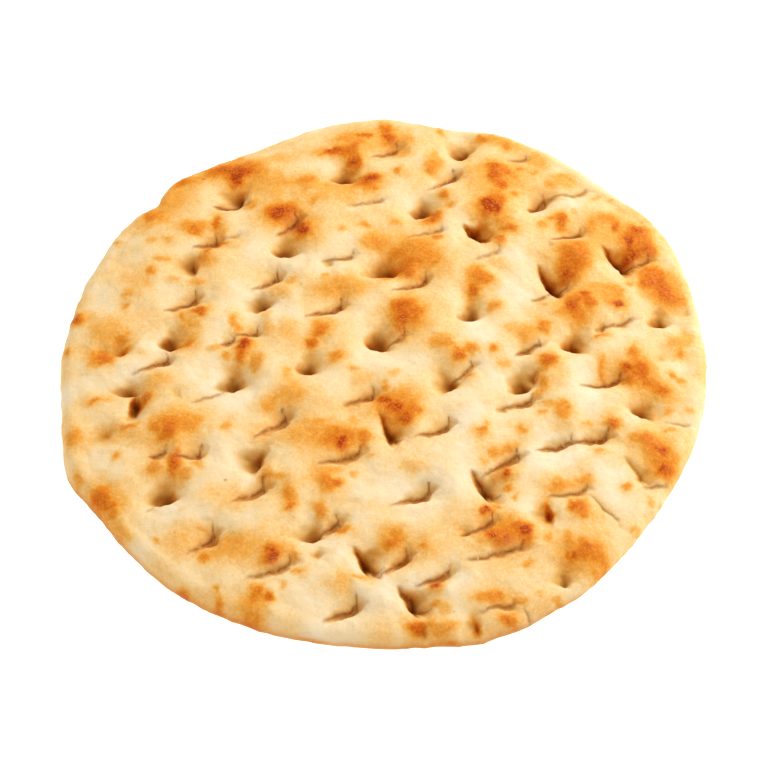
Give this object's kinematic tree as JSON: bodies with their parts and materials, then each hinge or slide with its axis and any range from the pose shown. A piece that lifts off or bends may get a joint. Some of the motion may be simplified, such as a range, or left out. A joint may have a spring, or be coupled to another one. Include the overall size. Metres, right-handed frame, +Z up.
{
  "type": "pita bread",
  "caption": "Round thick pita bread, pale gold with toasted brown spots, its top dimpled all over by slots and pits from a dough docker.",
  "frame": {"origin": "middle of the flat underside, under the centre of the bread's bounding box", "axes": "+Z up out of the docked top, +X along the way the docker rolled, from the left of the bread to its right as first seen, -Y towards the viewer"},
  "size_m": [0.18, 0.1809, 0.0121],
  "materials": {
    "crust": "matte, dry and slightly rough"
  },
  "bodies": {
    "root": {"bread": "crust"}
  },
  "joints": []
}
